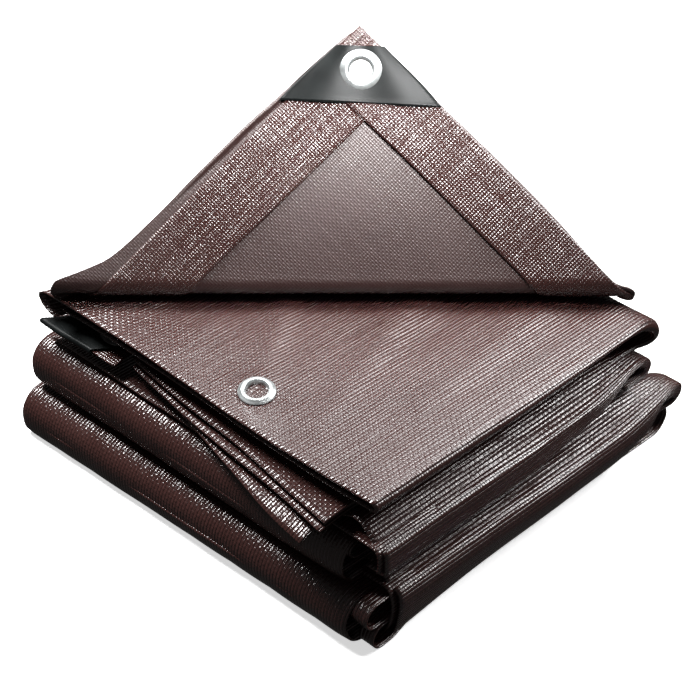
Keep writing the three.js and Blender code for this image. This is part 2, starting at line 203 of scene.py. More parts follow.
def coated_weave(name, pitch, along_ribs, across_ribs, relief, gloss, wander_size):
    """Woven tape cloth under a glossy film, from how far its ribs stand out in each direction."""
    crossing_pitch = 1.22
    rib_roundness = 0.7
    weave_height = 0.16
    grain_height = 0.2
    cloth, shader = new_finish(name)
    tree = cloth.node_tree
    laid = tree.nodes.new("ShaderNodeTexCoord").outputs["UV"]

    def times(first, second):
        return node_sum(tree, "MULTIPLY", first, second)

    def plus(first, second):
        return node_sum(tree, "ADD", first, second)

    def streaks(size, low, high, roughness=0.5, start=0.0, end=1.0):
        """A noise drawn out along one direction of the cloth."""
        drawn_out = tree_noise(tree, stretched(tree, laid, size), 1, 3, roughness)
        return spread(tree, drawn_out, low, high, start, end)

    # The tapes wander a little, so the ribs aren't ruled lines.
    flat = tree.nodes.new("ShaderNodeSeparateXYZ")
    tree.links.new(laid, flat.inputs[0])
    wander_along = streaks((9, 60, 1), -wander_size, wander_size)
    wander_across = streaks((60, 9, 1), -wander_size, wander_size)
    across = plus(flat.outputs["Y"], wander_along)
    along = plus(flat.outputs["X"], wander_across)
    turn = pi / pitch
    wave_along = node_sum(tree, "COSINE", times(across, turn))
    wave_across = node_sum(tree, "COSINE", times(along, turn * crossing_pitch))
    rib_along = node_sum(tree, "POWER", node_sum(tree, "ABSOLUTE", wave_along), rib_roundness)
    rib_across = node_sum(tree, "POWER", node_sum(tree, "ABSOLUTE", wave_across), rib_roundness)
    over_under = times(wave_along, wave_across)

    # Single tapes stand higher or lower than their neighbours for a stretch.
    single = 1 / pitch
    strong_along = streaks((16, single, 1), 0.5, 1.4, 0.6, 0.25, 0.75)
    strong_across = streaks((single, 16, 1), 0.5, 1.4, 0.6, 0.25, 0.75)
    along_part = times(times(rib_along, strong_along), along_ribs)
    across_part = times(times(rib_across, strong_across), across_ribs)
    crossing = times(over_under, weave_height)
    grain = times(tree_noise(tree, laid, 700, 3, 0.65), grain_height)
    ribs = plus(along_part, across_part)
    raise_relief(tree, shader, plus(ribs, plus(crossing, grain)), relief)

    # The film is glossier on the crowns of the tapes and dull between them. Its colour is paler in random
    # patches, and paler on the crowns than between them: painted highlight on the crowns and painted shade
    # in the grooves.
    patchy = tree_noise(tree, laid, 22, 4, 0.6)
    crowned = plus(times(ribs, 0.4), times(patchy, 0.45))
    patchy_and_crown_lit = colour_between(tree, crowned, coat_brown, coat_brown_patchy_and_highlit, 0.25, 0.95)
    tree.links.new(patchy_and_crown_lit, shader.inputs["Base Color"])
    dulled = node_sum(tree, "SUBTRACT", plus(gloss, times(patchy, 0.16)), times(ribs, 0.10))
    tree.links.new(spread(tree, dulled, 0.12, 0.75, 0.12, 0.75), shader.inputs["Roughness"])
    shader.inputs["Specular IOR Level"].default_value = 1.0
    return cloth


ribbed_cloth = coated_weave("ribbed_cloth", pitch=0.0023, along_ribs=1.0, across_ribs=0.22,
                            relief=0.00042, gloss=0.27, wander_size=0.0005)
cloth_gauge = 0.9
coarse_step = 6.0


def between(low, high, share):
    return low + (high - low) * share


def read_off(table, place):
    """The value at a place, going smoothly through the lines of a table of places and values."""
    if place <= table[0][0]:
        return table[0][1]
    for number in range(len(table) - 1):
        start, low = table[number]
        end, high = table[number + 1]
        if place <= end:
            before = table[max(number - 1, 0)]
            after = table[min(number + 2, len(table) - 1)]
            share = (place - start) / (end - start)
            rise_in = (high - before[1]) / (end - before[0]) * (end - start)
            rise_out = (after[1] - low) / (after[0] - start) * (end - start)
            square, cube = share ** 2, share ** 3
            return (
                low * (2 * cube - 3 * square + 1) + rise_in * (cube - 2 * square + share)
                + high * (3 * square - 2 * cube) + rise_out * (cube - square)
            )
    return table[-1][1]


def steps(start, end, step):
    count = max(1, round(abs(end - start) / step))
    return [between(start, end, number / count) for number in range(count + 1)]


def filled_in(path, step):
    """The path with its long straight runs cut into steps."""
    points = [path[0]]
    for first, second in zip(path, path[1:]):
        length = (Vector(second) - Vector(first)).length
        count = max(1, round(length / step))
        for number in range(1, count + 1):
            points.append(tuple(Vector(first).lerp(Vector(second), number / count)))
    return points


def back_and_forth(start, runs, bend_steps=16, step=coarse_step):
    """A path of runs at heights, each ending where its bend starts, and how far the bend bulges."""
    path = [(start, runs[0][0])]
    for (height, end, bulge), following in zip(runs, runs[1:] + [None]):
        path.append((end, height))
        if following is None:
            break
        outward = 1 if end > path[-2][0] else -1
        for number in range(1, bend_steps):
            angle = pi * number / bend_steps
            path.append((
                end + outward * bulge * sin(angle),
                between(height, following[0], (1 - cos(angle)) / 2),
            ))
        path.append((end, following[0]))
    return filled_in(path, step)


def normal_at(rows, row, column):
    down = rows[min(row + 1, len(rows) - 1)][column] - rows[max(row - 1, 0)][column]
    along = rows[row][min(column + 1, len(rows[0]) - 1)] - rows[row][max(column - 1, 0)]
    return down.cross(along).normalized()


def uneven(rows, depth, size, start):
    """The rows pushed in and out by a soft, fixed unevenness, and none of it near the floor."""
    rows = [[Vector(point) for point in row] for row in rows]
    moved = []
    for row in range(len(rows)):
        line = []
        for column, point in enumerate(rows[row]):
            place = Vector((point.x / size[0], point.y / size[1], point.z / size[2]))
            place += Vector((start, 0, 0))
            push = depth * noise.noise(place) * min(1, max(0, point.z - 0.6) / 4)
            line.append(point + normal_at(rows, row, column) * push)
        moved.append(line)
    return moved


def middle_lines(rows):
    return rows[len(rows) // 2], [row[len(row) // 2] for row in rows]


def made_piece(name, mesh, finish):
    """The mesh as a piece of the scene, in its finish."""
    data = bpy.data.meshes.new(name)
    mesh.to_mesh(data)
    mesh.free()
    piece = bpy.data.objects.new(name, data)
    bpy.context.collection.objects.link(piece)
    data.materials.append(finish)
    return piece


def thicken(piece, label, thickness, offset):
    wall = piece.modifiers.new(label, "SOLIDIFY")
    wall.thickness = thickness / 1000
    wall.offset = offset


def laid_cloth(name, rows, finish, gauge=cloth_gauge, flat=None):
    """A sheet of cloth on rows of points, with its weave laid out along the rows."""
    if flat is None:
        lengths = []
        for line in middle_lines(rows):
            reach = [0]
            for a, b in zip(line, line[1:]):
                reach.append(reach[-1] + (Vector(b) - Vector(a)).length / 1000)
            lengths.append(reach)
        flat = [[(u, v) for u in lengths[0]] for v in lengths[1]]
    mesh = bmesh.new()
    laid = mesh.loops.layers.uv.new("laid")
    points = [[mesh.verts.new(in_frame(*point)) for point in row] for row in rows]
    for row in range(len(rows) - 1):
        for column in range(len(rows[0]) - 1):
            corners = [(row, column), (row, column + 1), (row + 1, column + 1), (row + 1, column)]
            face = mesh.faces.new([points[a][b] for a, b in corners])
            face.smooth = True
            for loop, (a, b) in zip(face.loops, corners):
                loop[laid].uv = flat[a][b]
    piece = made_piece(name, mesh, finish)
    thicken(piece, "cloth thickness", gauge, 0)
    return piece


lower_roll_path = back_and_forth(84, [
    (3.2, -131, 6.5),
    (13.6, 82, 2),
    (17.0, -131, 6.5),
    (27.0, 84, 2),
    (30.2, -128, 15.0),
    (0.5, 60, 0),
])
lower_roll_bow = [(-139.5, 0.6), (-130, 0), (-60, -0.6), (0, -1.5), (60, -2.6), (118, -4), (125, -3.6)]
lower_roll_fullness = [(-139.5, 0.9), (-100, 0.75), (-20, 0.5), (60, 0.36), (125, 0.3)]


def sagged(path, end, low, high, bulge, fullness):
    """The path with the lower quarter of its outer bend, below the middle height, filled out."""
    middle, half = (low + high) / 2, (high - low) / 2
    moved = []
    for x, z in path:
        if x < end - 0.01 and z < middle:
            round_out = sqrt(max(0, 1 - ((z - middle) / half) ** 2))
            x = min(x, end - bulge * round_out ** fullness)
        moved.append((x, z))
    return moved


lower_roll_rows = []
for y in steps(-139.5, 125, 3):
    bow = read_off(lower_roll_bow, y)
    path = sagged(lower_roll_path, -128, 0.5, 30.2, 15.0, read_off(lower_roll_fullness, y))
    lower_roll_rows.append([(x + bow * (1 if x < -100 else 0.3), y, z) for x, z in path])
lower_roll_rows = uneven(lower_roll_rows, 0.9, (60, 45, 26), 3.1)
lower_roll = laid_cloth("lower_roll", lower_roll_rows, ribbed_cloth)
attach(lower_roll, "root")
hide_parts("tarp_cloth")

# Upper roll
# The plies above, of the same coated cloth, folded back and forth in the same way. They lie on the
# lower roll, set a little further in, and only their own weight holds them.
upper_roll_path = back_and_forth(84, [
    (36.2, -125.5, 6.5),
    (46.2, 82, 2),
    (49.2, -125.5, 6.5),
    (59.2, 84, 2),
    (62.2, -122.5, 15.0),
    (33.6, 60, 0),
])
upper_roll_bow = [(-131, 1.2), (-122, 0.2), (-50, -0.3), (40, 0), (118, -0.6), (123.5, 0.2)]
upper_roll_fullness = [(-131, 0.9), (-80, 0.7), (0, 0.5), (70, 0.38), (123.5, 0.3)]
upper_roll_rows = []
for y in steps(-131, 123.5, 3):
    bow = read_off(upper_roll_bow, y)
    path = sagged(upper_roll_path, -122.5, 33.6, 62.2, 15.0, read_off(upper_roll_fullness, y))
    upper_roll_rows.append([(x + bow * (1 if x < -100 else 0.3), y, z) for x, z in path])
upper_roll_rows = uneven(upper_roll_rows, 0.9, (60, 45, 26), 8.4)
upper_roll = laid_cloth("upper_roll", upper_roll_rows, ribbed_cloth)
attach(upper_roll, "root")
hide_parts("tarp_cloth")

# Lower right bends
# The lowest ply turns up and back at the right-hand end, on the surface the stack lies on. Its near
# edge lies further back than the plies over it.
lower_loop_path = back_and_forth(50, [
    (0.5, 113, 12.6),
    (21.6, 88, 0),
])
lower_loop_shift = [(-139.5, 0), (-100, -0.5), (40, -1.5), (121, -3)]
lower_loop_rows = []
for y in steps(-139.5, 121, 4):
    shift = read_off(lower_loop_shift, y)
    lower_loop_rows.append([
        (x + shift, y, z + (1.2 if x < 62 and z < 1 else 0)) for x, z in lower_loop_path
    ])
lower_loop_rows = uneven(lower_loop_rows, 0.8, (50, 40, 30), 5.5)
lower_right_bend = laid_cloth("lower_right_bend", lower_loop_rows, ribbed_cloth)
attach(lower_right_bend, "root")
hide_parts("tarp_cloth")

# Lower front
# One ply over the rolls' right-hand side: it lies on the lower roll, rises at its front and turns
# down in a tall round front. At its right-hand end it turns back under itself.
lower_front_over = {
    "front": [
        (-118.5, 37.6), (-60, 38.2), (0, 38.8), (60, 40.2), (95, 41.4), (110, 42.2), (118, 41.4),
        (122.6, 39.2), (124.8, 36.0), (124.6, 32.0), (122.6, 28.6), (119.5, 26.2), (114, 25.0), (92, 24.6),
    ],
    "back": [
        (-118.5, 32.1), (-60, 32.1), (0, 32.1), (60, 32.1), (92, 32.1), (104, 32.0), (110, 31.6),
        (114.4, 30.6), (117.2, 28.8), (117.6, 27.2), (116.4, 25.4), (113.5, 24.2), (108, 23.6), (90, 23.4),
    ],
    "under": [
        (-118.5, 0.5), (-60, 0.5), (0, 0.5), (60, 0.5), (82, 12.0), (97, 33.0), (110, 35.0),
        (115.4, 33.6), (118.0, 31.6), (118.4, 30.2), (117.2, 28.2), (114.5, 26.8), (110, 26.2), (92, 26.0),
    ],
}


def value_at(values, place):
    """The value at a place that counts along a list of values."""
    return read_off(list(enumerate(values)), place)


def path_point(points, place):
    return tuple(value_at(axis, place) for axis in zip(*points))


def places_along(points, step):
    """Places along a path, evenly spaced between each two of its points."""
    places = [0.0]
    for number in range(len(points) - 1):
        length = (Vector(points[number + 1]) - Vector(points[number])).length
        count = max(2, round(length / step))
        places += [number + (share + 1) / count for share in range(count)]
    return places


def squared_off(cosine, power):
    """A half turn's height, held up longer so that the turn gets a flatter front."""
    return abs(cosine) ** power * (1 if cosine > 0 else -1)


front_slant = [(0, -3.5), (3, -1.2), (12, 6.0), (20, 7.2), (40, 0)]
slant_run_out = 45
front_squareness = 0.5
front_turn_steps = 26


def on_turn(upper, lower, height):
    """A point of a bend, from its height: 1 at the upper point and -1 at the lower one."""
    upper, lower = Vector(upper), Vector(lower)
    return (upper + lower) / 2 + (upper - lower) / 2 * height


def fronted_ply(over, front, bulge, back, rise_from, rise_to, turned_in, slant_end):
    """A ply over its right-hand bend, slanting to a front that turns down to a path under it."""
    rows = []
    places = places_along(over["front"], 3.5)
    front_path, back_path, under_path = (
        [path_point(over[part], place) for place in places] for part in ("front", "back", "under")
    )
    front_edge = [value_at(front, place) for place in places]
    bulges = [value_at(bulge, place) for place in places]

    def slanted(x, behind_front):
        """The top falls towards the front, less and less towards the right-hand bend."""
        return read_off(front_slant, behind_front) * min(1, max(0, (slant_end - x) / slant_run_out))

    for share in steps(0, 1, 2.5 / (back - front_edge[0])):
        line = []
        for here in range(len(places)):
            y = between(back, front_edge[here], share)
            risen = min(1, max(0, (rise_from - y) / (rise_from - rise_to)))
            risen = risen * risen * (3 - 2 * risen)
            x, z = Vector(back_path[here]).lerp(Vector(front_path[here]), risen)
            line.append((x, y, z + slanted(x, y - front_edge[here])))
        rows.append(line)
    for number in range(1, front_turn_steps + 1):
        angle = pi * number / front_turn_steps
        upward = squared_off(cos(angle), front_squareness)
        line = []
        for here in range(len(places)):
            x, z = on_turn(front_path[here], under_path[here], upward)
            z += slanted(x, 0) * (1 + cos(angle)) / 2
            line.append((x, front_edge[here] - bulges[here] * max(0, sin(angle)) ** front_squareness, z))
        rows.append(line)
    for number in range(4):
        rows.append([(x, y + turned_in / 4, z) for x, y, z in rows[-1]])
    return rows


foot_height = 26
foot_tuck = [(-118, 5), (-76, 9), (0, 12), (60, 13.5), (120, 12)]


def tucked(rows):
    """The lower part of a front pushed back under, more and more towards the right-hand end."""
    return [
        [
            (x, y + read_off(foot_tuck, x) * max(0, 1 - z / foot_height) ** 1.3 if y < -100 else y, z)
            for x, y, z in row
        ]
        for row in rows
    ]


lower_front_edge = [
    -149, -149, -149, -149, -148.5, -148, -147.4, -147, -146.4, -146, -145.5, -145, -144, -143,
]
lower_front_bulge = [6, 6, 6, 6, 4.5, 3, 2.5, 2.2, 2, 2, 2, 2, 2, 2]
lower_front_rows = fronted_ply(
    lower_front_over, lower_front_edge, lower_front_bulge,
    back=118, rise_from=-112, rise_to=-138, turned_in=14, slant_end=118,
)
lower_front_rows = uneven(tucked(lower_front_rows), 0.9, (70, 30, 24), 12.7)
lower_front = laid_cloth("lower_front", lower_front_rows, ribbed_cloth)
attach(lower_front, "root")
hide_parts("tarp_cloth")

# Upper front
# The next ply, folded in the same way over the upper roll: a round front half as tall, and a small
# bend at its right-hand end.
upper_front_over = {
    "front": [
        (-128, 69.8), (-60, 70.4), (0, 70.6), (50, 70.6), (76, 70.6), (87, 70.2), (93.6, 68.8),
        (98.2, 66.0), (100.6, 62.2), (100.4, 58.4), (97.8, 55.6), (93, 54.2), (80, 53.8),
    ],
    "back": [
        (-128, 65.6), (-60, 65.6), (0, 65.6), (50, 65.6), (72, 65.6), (80, 65.5), (85, 65.3), (88.6, 64.9),
        (90.4, 64.5), (90.4, 64.2), (88.4, 63.8), (84, 63.6), (74, 63.5),
    ],
    "under": [
        (-128, 50.5), (-60, 50.5), (0, 51.0), (50, 58.0), (74, 67.4), (84, 67.4), (89.2, 66.2),
        (93.0, 63.8), (95.2, 61.2), (95.2, 58.6), (93.4, 56.8), (90, 55.8), (78, 55.4),
    ],
}
upper_front_edge = [
    -148, -147.6, -147, -145.5, -143.5, -142.4, -141.8, -141.2, -140.8, -140.4, -140.2, -140, -140,
]
upper_front_bulge = [5, 5, 5, 4, 2.5, 2, 1.8, 1.6, 1.6, 1.6, 1.6, 1.6, 1.6]
upper_front_rows = fronted_ply(
    upper_front_over, upper_front_edge, upper_front_bulge,
    back=116, rise_from=-106, rise_to=-134, turned_in=8, slant_end=92,
)
upper_front_rows = uneven(upper_front_rows, 0.9, (70, 30, 24), 17.2)
upper_front = laid_cloth("upper_front", upper_front_rows, ribbed_cloth)
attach(upper_front, "root")
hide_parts("tarp_cloth")

# Front linings
# Each front is doubled: a second ply shows a few millimetres outside the left-hand edge of the
# first, under it, and turns down with it.
front_linings = {
    "lower_front_lining": {
        "heights": [(-121.8, 36.0), (-114, 36.3), (-106, 36.4), (-100, 36.2)],
        "edge": -145.2, "bulge": 7.4, "under": 2.0, "back": -118, "size_start": 51.0,
    },
    "upper_front_lining": {
        "heights": [(-131.4, 68.0), (-112, 68.4), (-98, 68.5), (-84, 68.2)],
        "edge": -146.0, "bulge": 5.6, "under": 51.5, "back": -112, "size_start": 57.0,
    },
}
lining_turn = 0.72
lining_turn_steps = 12
lining_squareness = 0.7
for name, lining in front_linings.items():
    left, right = lining["heights"][0][0], lining["heights"][-1][0]
    lining_rows = []
    for y in steps(lining["back"], lining["edge"], 2):
        lining_rows.append([(x, y, read_off(lining["heights"], x)) for x in steps(left, right, 2)])
    for number in range(1, lining_turn_steps + 1):
        angle = pi * lining_turn * number / lining_turn_steps
        upward = squared_off(cos(angle), lining_squareness)
        bulge = lining["bulge"] * sin(angle) ** lining_squareness
        line = []
        for x in steps(left, right, 2):
            high = read_off(lining["heights"], x)
            middle, half = (high + lining["under"]) / 2, (high - lining["under"]) / 2
            line.append((x, lining["edge"] - bulge, middle + half * upward))
        lining_rows.append(line)
    lining_rows = uneven(tucked(lining_rows), 0.5, (40, 20, 20), lining["size_start"])
    front_lining = laid_cloth(name, lining_rows, ribbed_cloth)
    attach(front_lining, "root")
    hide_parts("tarp_cloth")

# Near bends
# Two small bends of the same coated cloth, one over the other, where inner plies turn back. They
# show under the near end of the lower front.
near_bend_path = back_and_forth(-84, [
    (31.6, -131, 8.4),
    (17.2, -100, 1),
    (15.0, -126.5, 8.0),
    (0.6, -84, 0),
], step=3)
near_bend_middle = -118
near_bend_slants = (0.06, 0.24)
near_bend_rows = []
for y in steps(-150.6, -140.2, 1.6):
    near_bend_rows.append([
        (x, y + max(slant * (x - near_bend_middle) for slant in near_bend_slants), z)
        for x, z in near_bend_path
    ])
near_bend_rows = uneven(near_bend_rows, 0.6, (20, 20, 20), 2.2)
near_bends = laid_cloth("near_bends", near_bend_rows, ribbed_cloth)
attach(near_bends, "root")
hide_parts("tarp_cloth")

# Fanned plies
# Three single plies that slide out at the left under the top ones, each with a free edge. The
# lowest one droops over the upper roll.


def fanned_ply(left_edge, height, droop, right, near, far):
    """A flat ply with an uneven left-hand edge that hangs a little over what it lies on."""
    over = 22
    fine = 26
    step = 3.2
    places = steps(0, 1, step / (over + fine)) + [1 + share * 5 for share in steps(0, 1, 0.2)[1:]]
    rows = []
    for y in steps(far, near, step):
        left = read_off(left_edge, y)
        line = []
        for x in places:
            across = x * (over + fine)
            place = left + across if x <= 1 else between(left + over + fine, right, (x - 1) / 5)
            hang = read_off(droop, y) * max(0, 1 - across / over) ** 1.6
            line.append((place, y, height - hang))
        rows.append(line)
    return rows


fan_edges = {
    "first_fan": ([(-126, -144.3), (-88, -138.8), (-44, -132.4), (1, -128.8), (44, -123), (52, -121)],
                  81.6, [(-126, 1.6), (-60, 1), (52, 0.2)], 78, -126.3, 50),
    "second_fan": ([(-125, -147.0), (-91, -141.6), (-24, -134.6), (44, -124.6), (52, -122)],
                   77.2, [(-125, 2.0), (-60, 1.2), (52, 0.2)], 74, -125.2, 48),
    "third_fan": ([(-116, -151.6), (-87, -148.6), (-60, -143), (20, -124), (40, -118)],
                  72.6, [(-116, 8.5), (-87, 5.5), (-60, 3), (0, 1), (40, 0.4)], 70, -115.8, 38),
}
for number, (name, outline) in enumerate(fan_edges.items()):
    fan_rows = uneven(fanned_ply(*outline), 0.8, (50, 34, 30), 21.5 + 3 * number)
    fan = laid_cloth(name, fan_rows, ribbed_cloth)
    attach(fan, "root")
    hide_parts("tarp_cloth")

# Top plies
# The sheet under the flap and the one below it, joined by a round lip at the near side and turned
# down together at the right-hand end. The upper one's left-hand edge is hemmed.
top_over = [
    (-130, 96), (-90, 96), (-40, 96), (10, 96), (50, 96), (76, 96), (88, 95.8), (94.5, 94.8), (99.6, 92.6),
    (103.4, 89.2), (105.6, 85.0), (106.2, 80.6), (105.4, 76.4), (102.6, 73.4), (98, 72.0), (90, 71.6),
    (24, 71.8),
]
top_under = [
    (-127.6, 89.8), (-90, 89.4), (-40, 90.0), (10, 91.2), (50, 92.2), (74, 91.8), (86, 90.4), (92.5, 88.0),
    (97.4, 85.6), (101.0, 82.8), (103.2, 80.0), (103.9, 77.6), (103.0, 75.4), (100.6, 73.8), (96, 73.2),
    (88, 73.0), (24, 73.2),
]
top_front_edge = [
    -143, -143, -142.8, -142.4, -141.6, -140.8, -140.2, -139.6, -139.2, -139, -138.6, -137.8, -136.4,
    -134.6, -132.6, -131.4, -131,
]
top_left_edge = [
    (-146, -130.6), (-110, -131.6), (-60, -131.2), (0, -129), (60, -127.6), (100, -128.4), (118, -129.6),
]

# Soft ridges along the top ply, pressed in by the plies' own folds: from, to, height and width.
top_ridges = [
    ((-92, -26), (-8, 34), 1.3, 7),
    ((-98, -78), (40, -30), 1.1, 9),
    ((-120, 66), (-62, 70), 1.2, 12),
    ((-60, -110), (88, -92), 1.0, 10),
    ((-20, -62), (86, -64), -1.1, 13),
    ((-124, 20), (-70, 28), 0.8, 9),
    ((-128, -128), (90, -126), 0.7, 8),
]


def ridged(x, y):
    lift = 0
    for start, end, height, width in top_ridges:
        start = Vector(start)
        run = Vector(end) - start
        share = (Vector((x, y)) - start).dot(run) / run.length_squared
        beside = (Vector((x, y)) - start - run * share).length
        ends = min(1, max(0, 1.35 - abs(share - 0.5) * 2) / 0.6)
        lift += height * exp(-(beside / width) ** 2) * ends * ends * (3 - 2 * ends)
    return lift


eyelet_swell_size = 15
eyelet_swell_slope = 0.16


def eyelet_swell(x, y):
    """The cloth lifts behind the pressed-in eyelet and dips before it."""
    aside = Vector((x, y)) - edge_eyelet_place.xy
    behind = aside.dot(Vector((1, 1)).normalized())
    return eyelet_swell_slope * behind * exp(-(aside.length / eyelet_swell_size) ** 4)


def top_ply_rows():
    """The lower ply's turn at the back, the upper ply, its lip at the near side and the lower ply."""
    step = 3.0
    lip_steps = 10
    lip_bulge = 3.6
    back_turn = [(100, 82.4), (105, 84.4), (109, 87.6), (110.8, 91.2), (110.2, 94.0), (107.4, 95.6)]
    places = places_along(top_over, step)
    over = [path_point(top_over, place) for place in places]
    under = [path_point(top_under, place) for place in places]
    edge = [value_at(top_front_edge, place) for place in places]
    rows = []
    for y, z in back_turn:
        rows.append([(x, y, height - (96 - z) * (1 if height > 90 else 0)) for x, height in over])
    for share in steps(0, 1, step / 245):
        line = []
        for here, (x, z) in enumerate(over):
            y = between(104, edge[here], share)
            lift = (ridged(x, y) + eyelet_swell(x, y)) * min(1, max(0, (z - 90) / 5))
            line.append((x, y, z + lift))
        rows.append(line)
    for number in range(1, lip_steps + 1):
        angle = pi * number / lip_steps
        line = []
        for here in range(len(places)):
            x, z = on_turn(over[here], under[here], cos(angle))
            line.append((x, edge[here] - lip_bulge * sin(angle), z))
        rows.append(line)
    for share in steps(0, 1, 0.08)[1:]:
        sunk = min(1, share * 4)
        rows.append([
            (x, between(edge[here], 96, share), between(z, min(z, 89), sunk) if x < 90 else z)
            for here, (x, z) in enumerate(under)
        ])
    fitted = []
    for row in rows:
        line = []
        for x, y, z in row:
            near_left = max(0, 1 - (x + 130) / 60)
            pulled_back = 12 * max(0, 1 - (x + 130) / 40) ** 1.5 * min(1, max(0, (y - 20) / 85))
            line.append((x + (read_off(top_left_edge, y) + 130) * near_left, y + pulled_back, z))
        fitted.append(line)
    return fitted


top_rows = uneven(top_ply_rows(), 1.0, (110, 34, 40), 31.4)
top_plies = laid_cloth("top_plies", top_rows, ribbed_cloth)
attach(top_plies, "root")
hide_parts("tarp_cloth", "side_hem")

# Edge eyelet
# A pressed zinc-plated eyelet through the doubled hem: two domed flanges rolled over a barrel. It
# stands on the top ply and follows the cloth's slope there.
dull_zinc = (0.36, 0.38, 0.38, 1)
bright_zinc = (0.62, 0.65, 0.65, 1)


def clouded_finish(name, dark, light, cloud_scale, roughness, grain_scale, grain_detail, depth, strength):
    """A finish with soft clouds in its colour and its gloss, and a fine grain in its surface."""
    finish, shader = new_finish(name)
    tree = finish.node_tree
    place = tree.nodes.new("ShaderNodeTexCoord").outputs["Object"]
    cloud = tree_noise(tree, place, cloud_scale, 4, 0.6)
    tree.links.new(colour_between(tree, cloud, dark, light, 0.3, 0.7), shader.inputs["Base Color"])
    tree.links.new(spread(tree, cloud, *roughness), shader.inputs["Roughness"])
    raise_relief(tree, shader, tree_noise(tree, place, grain_scale, grain_detail, 0.6), depth, strength)
    return finish, shader


zinc, zinc_shader = clouded_finish(
    "zinc", dull_zinc, bright_zinc, cloud_scale=160, roughness=(0.30, 0.46),
    grain_scale=420, grain_detail=3, depth=0.0001, strength=0.5,
)
zinc_shader.inputs["Metallic"].default_value = 0.8


def flange_profile(outer, hole, grip, dome):
    """Radii and heights round one pressed eyelet, from the barrel over both flanges and back."""
    rim, bore = outer / 2, hole / 2
    return [
        (bore + 0.1, 0), (bore + 0.1, grip * 0.5), (bore + 0.25, grip + dome * 0.45),
        (bore + 0.8, grip + dome * 0.82), (bore + 1.6, grip + dome), (bore + 2.5, grip + dome * 0.94),
        (rim - 1.5, grip + dome * 0.62), (rim - 0.7, grip + dome * 0.34), (rim - 0.15, grip + dome * 0.12),
        (rim, grip - 0.1), (rim - 0.4, grip - 0.35), (bore + 2.2, grip - 0.3),
    ]


def pressed_eyelet(name, place, outer, hole, grip, dome, turns=72):
    """An eyelet whose points come from place(across, up, out), from its own middle."""
    half = flange_profile(outer, hole, grip, dome)
    profile = [(radius, -out) for radius, out in reversed(half)] + half[1:]
    mesh = bmesh.new()
    rings = []
    for turn in range(turns):
        angle = 2 * pi * turn / turns
        rings.append([
            mesh.verts.new(in_frame(*place(radius * cos(angle), radius * sin(angle), out)))
            for radius, out in profile
        ])
    for turn in range(turns):
        first, second = rings[turn], rings[(turn + 1) % turns]
        for number in range(len(profile)):
            following = (number + 1) % len(profile)
            face = mesh.faces.new((first[number], second[number], second[following], first[following]))
            face.smooth = True
    bmesh.ops.recalc_face_normals(mesh, faces=mesh.faces)
    ring = made_piece(name, mesh, zinc)
    rounded = ring.modifiers.new("rounded flanges", "SUBSURF")
    rounded.levels = rounded.render_levels = 1
    return ring


def edge_eyelet_at(across, up, out):
    slope = Vector((1, 1)).normalized()
    x, y = edge_eyelet_place.x + across, edge_eyelet_place.y + up
    behind = Vector((across, up)).dot(slope)
    lean = eyelet_swell_slope * behind
    return x - slope.x * out * eyelet_swell_slope, y - slope.y * out * eyelet_swell_slope, 96 + lean + out


edge_ring = pressed_eyelet("edge_ring", edge_eyelet_at, outer=21.2, hole=12, grip=0.75, dome=2.1)
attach(edge_ring, "root")
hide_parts("edge_eyelet")

# Flap
# The uppermost ply lies flat at the back, then its corner is turned back over a round crease and
# stands up, leaning away from the near corner. Its left-hand edge ends in a corded bead.
crease_sum = -18.6
crease_radius = 8
flap_lean = radians(54)
flap_height = 101.5
flap_tip_height = 140.5
crease_turn = pi - flap_lean
crease_length = crease_radius * crease_turn
along_crease = Vector((1, -1, 0)).normalized()
out_of_crease = Vector((-1, -1, 0)).normalized()
flap_up = out_of_crease * cos(crease_turn) + Vector((0, 0, sin(crease_turn)))
flap_out = along_crease.cross(flap_up)
corner_eyelet_place = (6, 115.5)
corner_hole_cut = 6.7

smooth_weave = coated_weave("smooth_weave", pitch=0.0017, along_ribs=0.5, across_ribs=0.5,
                            relief=0.00022, gloss=0.44, wander_size=0.0003)

# Where the flap's edges lie along the crease, by height up the flap from the crease's end.
flap_left_edge = [
    (-40, -160), (-24, -164), (-15, -168), (-8, -168.5), (-3, -166.5), (-1.2, -164.5), (1.6, -157),
    (4.4, -149.7), (10.1, -136.8), (20.3, -123.8), (30.2, -113.2), (40.3, -102.7), (53, -90.3),
    (70, -73), (86, -56.5), (100, -40.8), (120, -19.6), (130.2, -8.2), (136, -1.5), (139.4, 4.6),
    (140.5, 6.6),
]
flap_right_edge = [
    (-40, 132), (-24, 152), (-15, 158), (-8, 158), (-3.5, 149.7), (1.6, 144.1), (10.1, 136.1),
    (36.7, 111.7), (64.6, 83.8), (93.8, 53.3), (120, 27.2), (130, 17.1), (137.5, 9.4), (139.4, 7.8),
    (140.5, 7.0),
]
flap_belly = 7.0
right_turn_start, right_turn_radius, right_turn_reach = 92, 6.2, 1.8
back_turn_start, back_turn_radius, back_turn_reach = 101, 3.0, 1.6


def flap_bulge(across, height):
    """How far the flap bellies towards its near face: it is soft, and held only by its crease."""
    sides = max(0, 1 - (across / 160) ** 2)
    return flap_belly * sin(pi * min(1, max(0, height / 139))) * sides


def flap_place(across, past, proud=0):
    """A point of the flap's ply from its place along the crease and its distance past the crease."""
    place = Vector((crease_sum / 2, crease_sum / 2, flap_height)) + along_crease * across
    turned = min(max(past, 0), crease_length) / crease_radius
    straight = max(0, past - crease_length)
    place += out_of_crease * (min(past, 0) + crease_radius * sin(turned) + straight * cos(crease_turn))
    place.z += crease_radius * (1 - cos(turned)) + straight * sin(crease_turn)
    facing = Vector((0, 0, cos(turned))) - out_of_crease * sin(turned)
    place -= facing * proud
    if straight > 0:
        place += flap_out * flap_bulge(across, straight)
    if place.x > 0:
        kept_flat = min(1, max(0, (26 - past) / 16))
    else:
        kept_flat = max(0, 1 - max(0, past) / 9)
    return place.lerp(turned_down(place), kept_flat)


